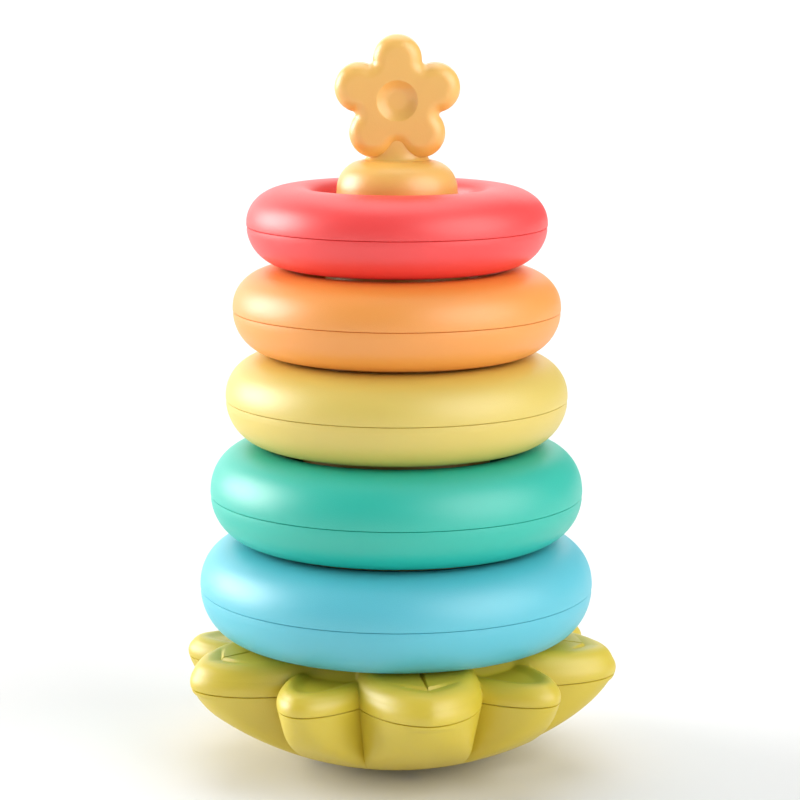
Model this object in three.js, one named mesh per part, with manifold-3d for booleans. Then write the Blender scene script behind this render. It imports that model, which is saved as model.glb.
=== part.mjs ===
// Stacking ring toy: five hollow rings on a tapered post, a flower finial on top,
// and a weighted, round-bottomed base whose rim is cut into leaves.
// Millimetres, +Z up, origin at the centre of the small flat that the base rests on.
// The flower faces -Y.

import * as THREE from 'three';
import { mergeVertices } from 'three/addons/utils/BufferGeometryUtils.js';
import Module from 'manifold-3d';

const wasm = await Module();
wasm.setup();

// ---- Driving dimensions ----

const WALL = 2.2;              // moulded wall thickness
const GAP = 0.3;               // clearance between pieces that meet
const STACK_GAP = 0.1;         // clearance between stacked rings

// Base
const SEAM_Z = 30.9;           // parting plane between bottom shell and leaf cover
const BOWL_RADIUS = 106.3;     // radius of the round bottom
const BOWL_CENTRE_Z = 105.5;
const SIDE_DRAFT = 0.36;       // the side under a leaf leans in this much for each millimetre down
const SIDE_BLEND = 6;          // how softly that side runs into the round bottom
const LEAF_TOP_Z = 41.6;       // where the lowest ring rests on the leaves
const LEAF_SHOULDER_Z = 39.2;  // top of a leaf where its edge starts to round off
const LEAF_EDGE = 6.8;         // width of that rounded edge
const LEAF_EDGE_SQUARENESS = 2.5;
// A leaf's outline is half a superellipse, from its waist out to its tip.
const BIG_LEAF = { tip: 72.6, waist: 45, halfWidth: 20, squareness: 1.8 };
const SMALL_LEAF = { tip: 70.0, waist: 40, halfWidth: 15.3, squareness: 1.9 };
const SMALL_LEAF_DROP = 3.6;   // a small leaf lies this much lower
const LEAF_TURN = 9;           // the front leaf points this far to the right of -Y, degrees
const LEAF_PAIRS = 5;          // big leaves, with a small one after each
const HUB_RADIUS = 45;         // inside this radius the cover is round

// Post
const POST_FOOT_Z = 37.3;
const POST_TOP_Z = 197.5;
const POST_FLAT_RADIUS = 10.4; // flat on top, under the flower's neck
const SHOULDER_Z = 187.9;      // where the rounded shoulder meets the cone
const SHOULDER_RADIUS = 19.4;
const POST_TAPER = 0.126;      // millimetres of radius for each millimetre of height

// Flower
const FLOWER_Z = 217.0;
const PETAL_COUNT = 5;
const PETAL_DISTANCE = 12.8;
const PETAL_RADIUS = 7.8;
const FLOWER_THICKNESS = 16.6;
const FLOWER_ROUNDING = 4.6;
const DIMPLE_RADIUS = 6.4;
const DIMPLE_FLOOR_RADIUS = 3.1;
const DIMPLE_DEPTH = 1.9;
const NECK_RADIUS = 9.5;
const NECK_DEPTH_RATIO = 0.82; // the neck is flatter from front to back

// Rings, from the base upwards: outer radius, hole radius, height above and below the equator
const RINGS = [
  { name: 'blue_ring', outer: 64.4, hole: 39.5, rise: 14.9, drop: 17.2, colour: 0x7cc8ee },
  { name: 'green_ring', outer: 60.8, hole: 36.0, rise: 15.5, drop: 15.9, colour: 0x3cc4a2 },
  { name: 'yellow_ring', outer: 55.6, hole: 31.5, rise: 13.5, drop: 15.8, colour: 0xf0e07c },
  { name: 'orange_ring', outer: 53.1, hole: 29.5, rise: 12.9, drop: 15.2, colour: 0xfbab66 },
  { name: 'red_ring', outer: 48.5, hole: 25.5, rise: 12.0, drop: 14.3, colour: 0xf5666c },
];
const CREST_INSET = 14.8;      // from a ring's outer edge to the crest of its section
const RING_SEAM = -0.7;        // a ring's parting plane, from its equator
const OUTER_SQUARENESS = 2.1;  // superellipse exponent outside the crest
const INNER_SQUARENESS = 2.6;  // and inside it, where the side is steeper
const TONGUE = 1.4;            // height of the lip that joins the two shells

// Fasteners and the weight
const SHANK_RADIUS = 1.5;
const PILOT_RADIUS = SHANK_RADIUS + GAP;
const HEAD_RADIUS = 3.1;
const HEAD_HEIGHT = 2.7;
const BOSS_RADIUS = 4.6;
const BASE_SCREW_CIRCLE = 26;
const POST_SCREW_CIRCLE = 30.5;
const BASE_BOSS_TOP_Z = 21;
const BASE_SCREW_SEAT_Z = 8.9; // where the screw head stops in its counterbore
const WEIGHT_RADIUS = 20;
const WEIGHT_BOTTOM_Z = 4.6;
const WEIGHT_TOP_Z = 16.4;
const WEIGHT_BORE = 5.6;
const WEIGHT_BOSS_RADIUS = 5.2;

const RING_SEGMENTS = 24;
const POST_SEGMENTS = 24;
const SMALL_SEGMENTS = 10;
// Steps round the base: for each half of a big leaf, and for a whole small one.
const STEPS_HALF_BIG = 5;
const STEPS_SMALL = 6;
const STEPS_PER_PAIR = 2 * STEPS_HALF_BIG + STEPS_SMALL;

const DEGREES = Math.PI / 180;
const PAIR_ANGLE = 360 / LEAF_PAIRS;

// ---- Shape helpers ----

// A solid of revolution about +Z from a closed outline of [radius, z] points.
function turned(outline, segments) {
  let area = 0;
  outline.forEach(([r, z], i) => {
    const [nextR, nextZ] = outline[(i + 1) % outline.length];
    area += r * nextZ - nextR * z;
  });
  const points = outline.map(([r, z]) => new THREE.Vector2(r, z));
  if (area < 0) points.reverse();
  points.push(points[0].clone());
  const geometry = new THREE.LatheGeometry(points, segments);
  geometry.rotateX(Math.PI / 2);
  return geometry;
}

// A plain round rod along +Z.
function rod(radius, lowZ, highZ, segments = SMALL_SEGMENTS) {
  const geometry = new THREE.CylinderGeometry(radius, radius, highZ - lowZ, segments);
  geometry.rotateX(Math.PI / 2);
  geometry.translate(0, 0, (lowZ + highZ) / 2);
  return geometry;
}

function moved(geometry, circle, angle) {
  return geometry.translate(circle * Math.cos(angle), circle * Math.sin(angle), 0);
}

// A geometry as a boolean solid, with its shared vertices merged and its empty triangles dropped.
function solid(geometry) {
  const bare = new THREE.BufferGeometry();
  bare.setAttribute('position', geometry.getAttribute('position'));
  if (geometry.index) bare.setIndex(geometry.index);
  const merged = mergeVertices(bare, 1e-4);
  const corners = merged.index.array;
  const kept = [];
  for (let i = 0; i < corners.length; i += 3) {
    const [a, b, c] = corners.slice(i, i + 3);
    if (a !== b && b !== c && c !== a) kept.push(a, b, c);
  }
  return new wasm.Manifold(new wasm.Mesh({
    numProp: 3,
    vertProperties: new Float32Array(merged.getAttribute('position').array),
    triVerts: new Uint32Array(kept),
  }));
}

function geometryOf(body) {
  const mesh = body.getMesh();
  const geometry = new THREE.BufferGeometry();
  geometry.setAttribute('position', new THREE.BufferAttribute(mesh.vertProperties, 3));
  geometry.setIndex(new THREE.BufferAttribute(mesh.triVerts, 1));
  geometry.computeVertexNormals();
  return geometry;
}

function piece(name, geometry, colour, roughness = 0.45, metalness = 0) {
  const material = new THREE.MeshStandardMaterial({ color: colour, roughness, metalness });
  const mesh = new THREE.Mesh(geometry, material);
  mesh.name = name;
  return mesh;
}

// Angles of the fasteners: one set under the big leaves, one between them.
function roundAngles(offset) {
  return Array.from({ length: LEAF_PAIRS }, (_, i) => (offset + i * PAIR_ANGLE) * DEGREES);
}

const baseScrewAngles = roundAngles(LEAF_TURN - 90);
const postScrewAngles = roundAngles(LEAF_TURN - 90 + PAIR_ANGLE / 2);

// ---- Rings ----

// Points of half a ring's section, from the outside over the crest (or under it) to the hole.
function halfSection(ring, side, inset, steps) {
  const crest = ring.outer - CREST_INSET;
  const height = (side > 0 ? ring.rise : ring.drop) - inset;
  const points = [];
  for (let i = 1; i < steps; i += 1) {
    const angle = (Math.PI * i) / steps;
    const across = Math.cos(angle);
    const outside = across > 0;
    const squareness = outside ? OUTER_SQUARENESS : INNER_SQUARENESS;
    const reach = (outside ? CREST_INSET : crest - ring.hole) - inset;
    points.push([
      crest + Math.sign(across) * reach * Math.abs(across) ** (2 / squareness),
      side * height * Math.sin(angle) ** (2 / squareness),
    ]);
  }
  return points;
}

function ringShell(ring, side) {
  const seam = RING_SEAM + (side * GAP) / 2;
  const lipTop = RING_SEAM + TONGUE + (side > 0 ? GAP : 0);
  const lipDepth = WALL / 2 + (side > 0 ? -GAP / 2 : GAP / 2);
  const outline = [
    [ring.outer, seam],
    ...halfSection(ring, side, 0, 7),
    [ring.hole, seam],
    [ring.hole + WALL, seam],
    ...halfSection(ring, side, WALL, 4).reverse(),
    [ring.outer - WALL, lipTop],
    [ring.outer - lipDepth, lipTop],
    [ring.outer - lipDepth, seam],
  ];
  return turned(outline, RING_SEGMENTS);
}

function makeRings() {
  const stack = new THREE.Group();
  let bottom = LEAF_TOP_Z + STACK_GAP;
  for (const ring of RINGS) {
    const group = new THREE.Group();
    group.position.z = bottom + ring.drop;
    group.add(piece(`${ring.name}_upper_shell`, ringShell(ring, 1), ring.colour));
    group.add(piece(`${ring.name}_lower_shell`, ringShell(ring, -1), ring.colour));
    stack.add(group);
    bottom += ring.drop + ring.rise + STACK_GAP;
  }
  return stack;
}

// ---- Base ----

// Halve the interval from low to high until it holds the place where test turns from true to false.
function lastTrue(low, high, test) {
  let [inside, outside] = [low, high];
  for (let i = 0; i < 40; i += 1) {
    const middle = (inside + outside) / 2;
    if (test(middle)) inside = middle;
    else outside = middle;
  }
  return inside;
}

// How far a leaf reaches along a ray from the axis, by the ray's angle from the leaf's middle.
function leafReach(leaf, degrees) {
  const n = leaf.squareness;
  return lastTrue(0, leaf.tip + 1, (radius) => {
    const along = Math.max(0, radius * Math.cos(degrees * DEGREES) - leaf.waist);
    const across = Math.abs(radius * Math.sin(degrees * DEGREES));
    return (along / (leaf.tip - leaf.waist)) ** n + (across / leaf.halfWidth) ** n < 1;
  });
}

// The notch between two leaves, by its angle from the middle of the big one.
const BIG_LEAF_HALF_ANGLE = lastTrue(0, PAIR_ANGLE / 2, (degrees) => (
  leafReach(BIG_LEAF, degrees) > leafReach(SMALL_LEAF, PAIR_ANGLE / 2 - degrees)
));
const SMALL_LEAF_HALF_ANGLE = PAIR_ANGLE / 2 - BIG_LEAF_HALF_ANGLE;
const CLEFT_RADIUS = leafReach(BIG_LEAF, BIG_LEAF_HALF_ANGLE);

// The rim's distance from the axis, and how much lower its leaf's edge lies, by the angle from the
// middle of the front big leaf.
function leafRim(degreesFromLeaf) {
  const turn = ((degreesFromLeaf % PAIR_ANGLE) + PAIR_ANGLE) % PAIR_ANGLE;
  const fromBig = Math.min(turn, PAIR_ANGLE - turn);
  if (fromBig <= BIG_LEAF_HALF_ANGLE) return { radius: leafReach(BIG_LEAF, fromBig), drop: 0 };
  const radius = leafReach(SMALL_LEAF, PAIR_ANGLE / 2 - fromBig);
  const share = (radius - CLEFT_RADIUS) / (SMALL_LEAF.tip - CLEFT_RADIUS);
  return { radius, drop: SMALL_LEAF_DROP * Math.max(0, share) };
}

// Even steps round the lathe become steps that land on the tips and the notches.
function leafAngle(step) {
  const inPair = step % STEPS_PER_PAIR;
  const start = ((step - inPair) / STEPS_PER_PAIR) * PAIR_ANGLE;
  const small = 2 * SMALL_LEAF_HALF_ANGLE;
  if (inPair <= STEPS_HALF_BIG) return start + (inPair / STEPS_HALF_BIG) * BIG_LEAF_HALF_ANGLE;
  const past = inPair - STEPS_HALF_BIG;
  if (past <= STEPS_SMALL) return start + BIG_LEAF_HALF_ANGLE + (past / STEPS_SMALL) * small;
  const last = (past - STEPS_SMALL) / STEPS_HALF_BIG;
  return start + BIG_LEAF_HALF_ANGLE + small + last * BIG_LEAF_HALF_ANGLE;
}

// Turn a round lathe into a leaved one: reshape(radius, z, rim) gives each vertex its new radius and z.
function leaved(outline, reshape) {
  const steps = LEAF_PAIRS * STEPS_PER_PAIR;
  const geometry = turned(outline, steps);
  const position = geometry.getAttribute('position');
  for (let i = 0; i < position.count; i += 1) {
    const radius = Math.hypot(position.getX(i), position.getY(i));
    const turn = Math.atan2(position.getY(i), position.getX(i)) / (2 * Math.PI);
    const degrees = leafAngle(Math.round(((turn + 1) % 1) * steps) % steps);
    const [newRadius, newZ] = reshape(radius, position.getZ(i), leafRim(degrees));
    const angle = (degrees + LEAF_TURN - 90) * DEGREES;
    position.setXYZ(i, newRadius * Math.cos(angle), newRadius * Math.sin(angle), newZ);
  }
  return geometry;
}

// The rounded edge of a leaf, from its shoulder down to the parting plane.
function leafEdge(inset, steps) {
  const width = LEAF_EDGE - inset;
  const height = LEAF_SHOULDER_Z - SEAM_Z - inset;
  const points = [];
  for (let i = 0; i <= steps; i += 1) {
    const angle = (Math.PI / 2) * (1 - i / steps);
    points.push([
      BIG_LEAF.tip - LEAF_EDGE + width * Math.cos(angle) ** (2 / LEAF_EDGE_SQUARENESS),
      SEAM_Z + height * Math.sin(angle) ** (2 / LEAF_EDGE_SQUARENESS),
    ]);
  }
  points[0][0] = BIG_LEAF.tip - LEAF_EDGE;
  points[steps][1] = SEAM_Z + GAP / 2;
  return points;
}

function makeLeafCover() {
  const rimInner = 39.2;
  const leafRing = [
    [rimInner, LEAF_TOP_Z],
    [52, LEAF_TOP_Z],
    ...leafEdge(0, 4),
    ...leafEdge(WALL, 2).reverse(),
    [52, LEAF_TOP_Z - WALL],
    [rimInner, LEAF_TOP_Z - WALL],
  ];
  const leaves = leaved(leafRing, (radius, z, rim) => {
    if (radius <= HUB_RADIUS) return [radius, z];
    const sink = (rim.drop * (z - SEAM_Z)) / (LEAF_TOP_Z - SEAM_Z);
    const pulled = BIG_LEAF.tip - rim.radius;
    const shoulder = BIG_LEAF.tip - LEAF_EDGE;
    if (radius > shoulder) return [radius - pulled, z - sink];
    const share = (radius - HUB_RADIUS) / (shoulder - HUB_RADIUS);
    return [radius - share * pulled, z - share * sink];
  });
  const hubTopZ = POST_FOOT_Z - GAP;
  const hub = turned([
    [0, hubTopZ - WALL],
    [rimInner + WALL, hubTopZ - WALL],
    [rimInner + WALL, LEAF_TOP_Z - 0.5],
    [rimInner, LEAF_TOP_Z - 0.5],
    [rimInner, hubTopZ],
    [0, hubTopZ],
  ], POST_SEGMENTS);
  let cover = solid(leaves).add(solid(hub));
  for (const angle of baseScrewAngles) {
    const boss = rod(BOSS_RADIUS, BASE_BOSS_TOP_Z + GAP, hubTopZ - WALL / 2);
    const pilot = rod(PILOT_RADIUS, BASE_BOSS_TOP_Z - 1, hubTopZ - WALL - 1);
    cover = cover.add(solid(moved(boss, BASE_SCREW_CIRCLE, angle)));
    cover = cover.subtract(solid(moved(pilot, BASE_SCREW_CIRCLE, angle)));
  }
  for (const angle of postScrewAngles) {
    const hole = rod(PILOT_RADIUS, hubTopZ - WALL - 1, hubTopZ + 1);
    cover = cover.subtract(solid(moved(hole, POST_SCREW_CIRCLE, angle)));
  }
  return piece('leaf_cover', geometryOf(cover), 0xc9c457);
}

// The bottom shell's radius at a height: a leaning side under the rim that runs into the round bottom.
function bowlRadius(z, rimRadius, inset = 0) {
  const depth = SEAM_Z - z;
  const side = rimRadius - inset - SIDE_DRAFT * depth;
  const round = Math.sqrt((BOWL_RADIUS - inset) ** 2 - (BOWL_CENTRE_Z - z) ** 2);
  const blend = Math.min(SIDE_BLEND, 2.5 * depth);
  const share = Math.max(0, 1 - Math.abs(side - round) / blend);
  return Math.min(side, round) - (share ** 2 * blend) / 4;
}

function bowlSide(heights, inset) {
  return heights.map((z) => [bowlRadius(z, BIG_LEAF.tip, inset), z]);
}

function makeBottomShell() {
  const top = SEAM_Z - GAP / 2;
  const outside = bowlSide([top, 28, 24.5, 19.5, 13, 7, 2.5, 0], 0);
  const inside = bowlSide([WALL, 6, 12, 19.5, 26, top], WALL);
  const bowl = leaved([...outside, [0, 0], [0, WALL], ...inside], (radius, z, rim) => {
    if (radius < 1) return [radius, z];
    return [radius - bowlRadius(z, BIG_LEAF.tip) + bowlRadius(z, rim.radius), z];
  });
  let shell = solid(bowl);
  for (const angle of baseScrewAngles) {
    const boss = rod(BOSS_RADIUS, 4.2, BASE_BOSS_TOP_Z);
    const counterbore = rod(HEAD_RADIUS + GAP, -1, BASE_SCREW_SEAT_Z);
    const hole = rod(PILOT_RADIUS, BASE_SCREW_SEAT_Z - 1, BASE_BOSS_TOP_Z + 1);
    shell = shell.add(solid(moved(boss, BASE_SCREW_CIRCLE, angle)));
    shell = shell.subtract(solid(moved(counterbore, BASE_SCREW_CIRCLE, angle)));
    shell = shell.subtract(solid(moved(hole, BASE_SCREW_CIRCLE, angle)));
  }
  shell = shell.add(solid(rod(WEIGHT_BOSS_RADIUS, WALL / 2, WEIGHT_TOP_Z - GAP, 16)));
  shell = shell.subtract(solid(rod(PILOT_RADIUS, WEIGHT_BOTTOM_Z + 2, WEIGHT_TOP_Z + 1)));
  return piece('bottom_shell', geometryOf(shell), 0xc4bf52);
}

// ---- Post ----

function postRadius(z) {
  return SHOULDER_RADIUS + POST_TAPER * (SHOULDER_Z - z);
}

function postSide(inset) {
  const topZ = POST_TOP_Z - inset;
  const points = [[postRadius(POST_FOOT_Z) - inset, POST_FOOT_Z], [SHOULDER_RADIUS - inset, SHOULDER_Z]];
  const steps = 5;
  for (let i = 1; i <= steps; i += 1) {
    const angle = (Math.PI / 2) * (i / steps);
    points.push([
      POST_FLAT_RADIUS + (SHOULDER_RADIUS - inset - POST_FLAT_RADIUS) * Math.cos(angle) ** 0.9,
      SHOULDER_Z + (topZ - SHOULDER_Z) * Math.sin(angle) ** 0.9,
    ]);
  }
  points[points.length - 1][0] = POST_FLAT_RADIUS;
  return points;
}

function makePost() {
  const outline = [...postSide(0), [0, POST_TOP_Z], [0, POST_TOP_Z - WALL], ...postSide(WALL).reverse()];
  let post = solid(turned(outline, POST_SEGMENTS));
  for (const angle of postScrewAngles) {
    const boss = rod(BOSS_RADIUS, POST_FOOT_Z, POST_FOOT_Z + 16);
    const pilot = rod(PILOT_RADIUS, POST_FOOT_Z - 1, POST_FOOT_Z + 13);
    post = post.add(solid(moved(boss, POST_SCREW_CIRCLE, angle)));
    post = post.subtract(solid(moved(pilot, POST_SCREW_CIRCLE, angle)));
  }
  post = post.subtract(solid(rod(PILOT_RADIUS, POST_TOP_Z - WALL - 1, POST_TOP_Z + 1)));
  return piece('post', geometryOf(post), 0xf9c778);
}

// ---- Flower ----

// The flower's outline: one arc for each petal, the first petal pointing up.
function flowerShape() {
  const half = Math.PI / PETAL_COUNT;
  const along = PETAL_DISTANCE * Math.cos(half);
  const across = PETAL_DISTANCE * Math.sin(half);
  const notch = along + Math.sqrt(PETAL_RADIUS ** 2 - across ** 2);
  const sweep = Math.atan2(notch * Math.sin(half), notch * Math.cos(half) - PETAL_DISTANCE);
  const steps = 7;
  const points = [];
  for (let petal = 0; petal < PETAL_COUNT; petal += 1) {
    const axis = Math.PI / 2 + petal * 2 * half;
    for (let i = 0; i < steps; i += 1) {
      const angle = axis + sweep * ((2 * i) / steps - 1);
      points.push(new THREE.Vector2(
        PETAL_DISTANCE * Math.cos(axis) + PETAL_RADIUS * Math.cos(angle),
        PETAL_DISTANCE * Math.sin(axis) + PETAL_RADIUS * Math.sin(angle),
      ));
    }
  }
  return new THREE.Shape(points);
}

// The flower's puffy body, set in all round by inset, standing upright at its height.
function flowerBody(inset, roundingSteps) {
  const depth = FLOWER_THICKNESS - 2 * FLOWER_ROUNDING;
  const geometry = new THREE.ExtrudeGeometry(flowerShape(), {
    depth,
    bevelThickness: FLOWER_ROUNDING - inset,
    bevelSize: FLOWER_ROUNDING - inset,
    bevelOffset: -FLOWER_ROUNDING,
    bevelSegments: roundingSteps,
  });
  geometry.translate(0, 0, -depth / 2);
  geometry.rotateX(Math.PI / 2);
  geometry.translate(0, 0, FLOWER_Z);
  return geometry;
}

// The shallow round dimple in the middle of a face: side is -1 for the front, 1 for the back.
function dimple(side) {
  const face = FLOWER_THICKNESS / 2;
  const geometry = turned([
    [0, face - DIMPLE_DEPTH],
    [DIMPLE_FLOOR_RADIUS, face - DIMPLE_DEPTH],
    [DIMPLE_RADIUS, face + 0.05],
    [DIMPLE_RADIUS, face + 2],
    [0, face + 2],
  ], 16);
  geometry.rotateX((-side * Math.PI) / 2);
  return geometry.translate(0, 0, FLOWER_Z);
}

function makeFlower() {
  const neck = turned([
    [0, POST_TOP_Z + GAP],
    [NECK_RADIUS + 0.6, POST_TOP_Z + GAP],
    [NECK_RADIUS, POST_TOP_Z + 2.4],
    [NECK_RADIUS - 0.4, FLOWER_Z - PETAL_DISTANCE],
    [0, FLOWER_Z - PETAL_DISTANCE],
  ], 16);
  neck.scale(1, NECK_DEPTH_RATIO, 1);
  const pillar = rod(DIMPLE_RADIUS + 1.5, -FLOWER_THICKNESS, FLOWER_THICKNESS, 16);
  pillar.rotateX(Math.PI / 2);
  pillar.translate(0, 0, FLOWER_Z);
  const hollow = solid(flowerBody(WALL, 2)).subtract(solid(pillar)).subtract(solid(neck));
  const pilot = solid(rod(PILOT_RADIUS, POST_TOP_Z - 1, POST_TOP_Z + 11));
  let flower = solid(flowerBody(0, 3)).add(solid(neck)).subtract(hollow).subtract(pilot);
  flower = flower.subtract(solid(dimple(-1))).subtract(solid(dimple(1)));
  const group = new THREE.Group();
  for (const [name, side] of [['flower_front', -1], ['flower_back', 1]]) {
    const half = new THREE.BoxGeometry(80, 40, 80);
    half.translate(0, side * (20 + GAP / 2), FLOWER_Z);
    group.add(piece(name, geometryOf(flower.intersect(solid(half))), 0xf9c778));
  }
  return group;
}

// ---- Fasteners and the weight ----

// A screw pointing up: its head hangs below seatZ, and its point reaches tipZ.
function makeScrew(name, seatZ, tipZ, circle = 0, angle = 0) {
  const outline = [
    [0, seatZ - HEAD_HEIGHT],
    [HEAD_RADIUS * 0.7, seatZ - HEAD_HEIGHT],
    [HEAD_RADIUS, seatZ - HEAD_HEIGHT * 0.5],
    [HEAD_RADIUS, seatZ],
    [SHANK_RADIUS, seatZ],
    [SHANK_RADIUS, tipZ - 2],
    [0, tipZ],
  ];
  return piece(name, moved(turned(outline, SMALL_SEGMENTS), circle, angle), 0xb9bcc0, 0.35, 1);
}

function makeFasteners() {
  const group = new THREE.Group();
  const coverUnderZ = POST_FOOT_Z - GAP - WALL;
  baseScrewAngles.forEach((angle, i) => {
    const name = `base_screw_${i + 1}`;
    group.add(makeScrew(name, BASE_SCREW_SEAT_Z - GAP, 31, BASE_SCREW_CIRCLE, angle));
  });
  postScrewAngles.forEach((angle, i) => {
    const name = `post_screw_${i + 1}`;
    group.add(makeScrew(name, coverUnderZ - GAP, POST_FOOT_Z + 11, POST_SCREW_CIRCLE, angle));
  });
  group.add(makeScrew('flower_screw', POST_TOP_Z - WALL - GAP, POST_TOP_Z + 9));
  return group;
}

function makeWeight() {
  const group = new THREE.Group();
  const weight = turned([
    [WEIGHT_BORE, WEIGHT_BOTTOM_Z],
    [WEIGHT_RADIUS - 2, WEIGHT_BOTTOM_Z],
    [WEIGHT_RADIUS, WEIGHT_BOTTOM_Z + 2],
    [WEIGHT_RADIUS, WEIGHT_TOP_Z],
    [WEIGHT_BORE, WEIGHT_TOP_Z],
  ], 24);
  group.add(piece('counterweight', weight, 0x8d9094, 0.5, 1));
  const washerTopZ = WEIGHT_TOP_Z + GAP + 1.2;
  const washer = turned([
    [PILOT_RADIUS, WEIGHT_TOP_Z + GAP],
    [9, WEIGHT_TOP_Z + GAP],
    [9, washerTopZ],
    [PILOT_RADIUS, washerTopZ],
  ], 16);
  group.add(piece('weight_washer', washer, 0xb9bcc0, 0.35, 1));
  // The weight's screw points down, so it is a screw turned over about its seat.
  const seatZ = washerTopZ + GAP;
  const screw = makeScrew('weight_screw', 0, 11);
  screw.rotation.x = Math.PI;
  screw.position.z = seatZ;
  group.add(screw);
  return group;
}

// ---- Assembly ----

const base = new THREE.Group();
base.add(makeBottomShell(), makeLeafCover(), makePost(), makeFlower(), makeFasteners(), makeWeight());

const group = new THREE.Group();
group.add(base, makeRings());

export default group;
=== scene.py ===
# %% [markdown]
# # A stacking ring toy
# Five hollow plastic rings sit on a tapered post with a flower on top. The post stands on a weighted,
# round-bottomed base whose rim is moulded as leaves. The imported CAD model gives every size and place, and
# this lesson makes the fine surfaces over it: one cell for each piece or finish, with its reasons first.

# %% Load the fixed frame
import math

import bmesh
import bpy
import numpy as np
from mathutils import Matrix, Vector


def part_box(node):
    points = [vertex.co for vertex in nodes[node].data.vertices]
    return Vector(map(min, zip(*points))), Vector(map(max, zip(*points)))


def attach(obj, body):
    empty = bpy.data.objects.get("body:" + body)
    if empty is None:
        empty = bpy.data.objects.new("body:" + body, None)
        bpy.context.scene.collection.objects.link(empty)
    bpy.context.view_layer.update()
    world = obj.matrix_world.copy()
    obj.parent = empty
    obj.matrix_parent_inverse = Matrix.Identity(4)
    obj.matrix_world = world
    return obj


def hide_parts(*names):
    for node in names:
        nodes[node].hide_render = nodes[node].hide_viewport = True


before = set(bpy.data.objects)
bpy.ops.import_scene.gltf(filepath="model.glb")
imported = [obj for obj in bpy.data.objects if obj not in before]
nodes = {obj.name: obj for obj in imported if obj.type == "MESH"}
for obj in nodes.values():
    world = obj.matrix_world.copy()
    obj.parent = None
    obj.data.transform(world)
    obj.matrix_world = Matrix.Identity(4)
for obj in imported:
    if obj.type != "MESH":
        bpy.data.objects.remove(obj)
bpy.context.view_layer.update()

MM = 0.001
WALL = 2.2 * MM
PARTING = 0.3 * MM


def reach(node):
    """The nearest and farthest distance of a CAD node's corners from the post's axis, in metres."""
    corners = np.array([v.co for v in nodes[node].data.vertices])
    across = np.hypot(corners[:, 0], corners[:, 1])
    return float(across.min()), float(across.max())


# %% [markdown]
# ## Camera
# The toy is seen from the front, a little above the top ring's height, through a long lens. A long lens keeps
# the rings' outlines nearly parallel. The camera is tilted down by ten degrees, rolled by a small fraction of
# one, as a hand-levelled tripod is, and isn't shifted.

# %% Camera
CAMERA_DISTANCE = 824.7 * MM
CAMERA_HEIGHT = 265.3 * MM
CAMERA_SIDE = 1.1 * MM
CAMERA_TILT = math.radians(10.04)
CAMERA_ROLL = math.radians(0.15)
LENS = 115.7

camera_data = bpy.data.cameras.new("camera")
camera_data.lens = LENS
camera_data.sensor_width = 36
camera = bpy.data.objects.new("camera", camera_data)
camera.location = (CAMERA_SIDE, -CAMERA_DISTANCE, CAMERA_HEIGHT)
camera.rotation_euler = (Matrix.Rotation(math.pi / 2 - CAMERA_TILT, 3, "X")
                         @ Matrix.Rotation(CAMERA_ROLL, 3, "Z")).to_euler()
bpy.context.scene.collection.objects.link(camera)
bpy.context.scene.camera = camera
bpy.context.scene.view_settings.view_transform = "Standard"
print("camera at", tuple(round(c, 4) for c in camera.location))

# %% [markdown]
# ## Studio light
# Satin plastic shows its form through soft reflections: a small bright one on the left, from a light a
# little behind the toy, a broad pale one right of the middle, and a glow along the top edges from above.
# Each light is a sun with a wide disc, as a soft box is. A sun has no falloff, so the floor stays evenly
# white to the edge of the view, and a pale world fills the rest.

# %% Lights and world
def soft_sun(name, direction, disc, strength):
    """A sun that shines from a direction, with a disc so many degrees wide."""
    data = bpy.data.lights.new(name, "SUN")
    data.angle = math.radians(disc)
    data.energy = strength
    light = bpy.data.objects.new(name, data)
    light.rotation_euler = Vector(direction).to_track_quat("Z", "Y").to_euler()
    bpy.context.scene.collection.objects.link(light)
    return light


soft_sun("left_light", (-0.92, 0.28, 0.25), 44, 4.2)
soft_sun("right_light", (0.80, -0.46, 0.44), 62, 2.35)
soft_sun("top_light", (0.02, 0.32, 1.0), 50, 1.05)
soft_sun("back_light", (-0.15, 1.0, 0.50), 60, 0.95)

world = bpy.data.worlds.new("studio")
world.use_nodes = True
world.node_tree.nodes["Background"].inputs["Color"].default_value = (1, 1, 1, 1)
world.node_tree.nodes["Background"].inputs["Strength"].default_value = 0.34
bpy.context.scene.world = world
print("four soft lights and a pale world")

# %% [markdown]
# ## Two helpers for node trees
# A finish is a small program of nodes. `Finish.node` makes any node from its type, its settings and its
# sockets, and `Value` wraps a number socket so that plain arithmetic writes the Math nodes.

# %% Shader helpers
class Value:
    """A number socket: arithmetic on it adds Math nodes."""

    def __init__(self, finish, socket):
        self.finish = finish
        self.socket = socket

    def math(self, operation, first, second):
        made = self.finish.node("ShaderNodeMath", {"operation": operation}, {0: first, 1: second})
        return Value(self.finish, made.outputs[0])

    def __add__(self, other):
        return self.math("ADD", self, other)

    def __radd__(self, other):
        return self.math("ADD", other, self)

    def __sub__(self, other):
        return self.math("SUBTRACT", self, other)

    def __rsub__(self, other):
        return self.math("SUBTRACT", other, self)

    def __mul__(self, other):
        return self.math("MULTIPLY", self, other)

    def __rmul__(self, other):
        return self.math("MULTIPLY", other, self)


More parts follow.
